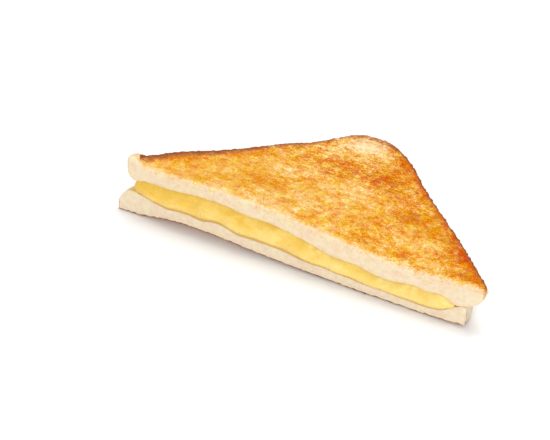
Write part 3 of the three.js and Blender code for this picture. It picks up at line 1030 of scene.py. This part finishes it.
AIM = Vector((-0.014205, -0.024364, 0.010))  # the point that camera and lights look at
SENSOR = 36.0  # width of the camera's sensor, in mm
CLIP = (0.01, 20.0)  # what the camera sees, in metres from it
LIGHTS = {  # side of the square light and its place, in metres
    "key": (0.8, (-0.05, 0.34, 1.12)),
    "fill": (0.6, (0.30, -0.88, 0.42)),
    "side": (0.5, (0.85, 0.05, 0.30)),
}


# ---- Operators ----

def bread_finish():
    """The bread's material, made once for both slices."""
    settings = bpy.context.scene.sandwich_bread
    return bpy.data.materials.get("bread_finish") or bread_material("bread_finish", settings)


class SANDWICH_OT_lower_slice(bpy.types.Operator):
    """Makes the lower slice of bread, toasted on its underside"""

    bl_idname = "sandwich.lower_slice"
    bl_label = "Lower slice"

    def execute(self, context):
        crag = context.scene.sandwich_bread.crag / MM
        faces = (underside, lower_inner)
        points, fields = make_slice(LOWER_SLICE, faces, LOWER_STEPS, UNDERSIDE_PATCHES, crag)
        make_piece("lower_slice", points, fields, bread_finish(), "bread_bottom")
        return {"FINISHED"}


class SANDWICH_OT_cheese(bpy.types.Operator):
    """Makes the melted cheese with its hanging lip"""

    bl_idname = "sandwich.cheese"
    bl_label = "Cheese"

    def execute(self, context):
        settings = context.scene.sandwich_cheese
        points, fields = make_cheese(settings.lip / MM, settings.sag / MM)
        finish = cheese_material("cheese_finish", settings)
        make_piece("melted_cheese", points, fields, finish, "cheese")
        return {"FINISHED"}


class SANDWICH_OT_upper_slice(bpy.types.Operator):
    """Makes the upper slice of bread, toasted on top, with its curled end"""

    bl_idname = "sandwich.upper_slice"
    bl_label = "Upper slice"

    def execute(self, context):
        crag = context.scene.sandwich_bread.crag / MM
        faces = (upper_inner, toast_top)
        points, fields = make_slice(UPPER_SLICE, faces, UPPER_STEPS, TOP_PATCHES, crag)
        make_piece("upper_slice", points, fields, bread_finish(), "bread_top")
        return {"FINISHED"}


def add_light(name, power):
    """A square soft light that looks at the sandwich."""
    side, place = LIGHTS[name]
    data = bpy.data.lights.new(name, "AREA")
    data.shape, data.size, data.energy = "SQUARE", side, power
    light = add_object(name, data)
    light.location = place
    light.rotation_euler = (AIM - light.location).to_track_quat("-Z", "Y").to_euler()


def add_camera(stage):
    """The camera: from AIM it goes back by the distance, in the direction of the azimuth and
    the elevation, and it is turned about its own axis by the roll."""
    flat = math.cos(stage.elevation)
    back = Vector((math.sin(stage.azimuth) * flat, -math.cos(stage.azimuth) * flat,
                   math.sin(stage.elevation)))
    level = Vector((math.cos(stage.azimuth), math.sin(stage.azimuth), 0.0))
    right = level * math.cos(stage.roll) + back.cross(level) * math.sin(stage.roll)
    axes = Matrix((right, back.cross(right), back)).transposed()
    data = bpy.data.cameras.new("camera")
    data.lens, data.sensor_width = stage.lens, SENSOR
    data.clip_start, data.clip_end = CLIP
    camera = add_object("camera", data)
    camera.matrix_world = Matrix.Translation(AIM + back * stage.distance) @ axes.to_4x4()
    bpy.context.scene.camera = camera


class SANDWICH_OT_stage(bpy.types.Operator):
    """Makes the floor, the soft lights and the camera"""

    bl_idname = "sandwich.stage"
    bl_label = "Stage"

    def execute(self, context):
        scene, stage = context.scene, context.scene.sandwich_stage
        half = stage.floor_size / 2
        corners = [(-half, -half, 0), (half, -half, 0), (half, half, 0), (-half, half, 0)]
        mesh = bpy.data.meshes.new("floor")
        mesh.from_pydata(corners, [], [(0, 1, 2, 3)])
        mesh.materials.append(floor_material("pale_floor", tuple(stage.floor_colour)))
        floor = add_object("floor", mesh)

        world = bpy.data.worlds.new("soft_white")
        world.use_nodes = True
        background = world.node_tree.nodes["Background"]
        background.inputs["Color"].default_value = (1.0, 1.0, 1.0, 1.0)
        background.inputs["Strength"].default_value = stage.sky
        scene.world = world
        scene.view_settings.view_transform = "Standard"
        for name in LIGHTS:
            add_light(name, getattr(stage, name))
        add_camera(stage)
        return {"FINISHED"}


class SANDWICH_PT_panel(bpy.types.Panel):
    """Lists the pieces and the settings"""

    bl_label = "Grilled Cheese Half"
    bl_space_type = "VIEW_3D"
    bl_region_type = "UI"
    bl_category = "Sandwich"

    def draw(self, context):
        layout, scene = self.layout, context.scene
        for operator in OPERATORS:
            layout.operator(operator.bl_idname)
        for group in (scene.sandwich_bread, scene.sandwich_cheese, scene.sandwich_stage):
            box = layout.box()
            for key in group.__annotations__:
                box.prop(group, key)


OPERATORS = (SANDWICH_OT_lower_slice, SANDWICH_OT_cheese, SANDWICH_OT_upper_slice,
             SANDWICH_OT_stage)
SETTINGS = {"sandwich_bread": BreadSettings, "sandwich_cheese": CheeseSettings,
            "sandwich_stage": StageSettings}
CLASSES = (*SETTINGS.values(), *OPERATORS, SANDWICH_PT_panel)


def register():
    for cls in CLASSES:
        bpy.utils.register_class(cls)
    for key, cls in SETTINGS.items():
        setattr(bpy.types.Scene, key, bpy.props.PointerProperty(type=cls))


def unregister():
    for key in SETTINGS:
        delattr(bpy.types.Scene, key)
    for cls in reversed(CLASSES):
        bpy.utils.unregister_class(cls)


def main():
    """Makes every piece and the stage."""
    register()
    bpy.ops.sandwich.lower_slice()
    bpy.ops.sandwich.cheese()
    bpy.ops.sandwich.upper_slice()
    bpy.ops.sandwich.stage()


if __name__ == "__main__":
    main()
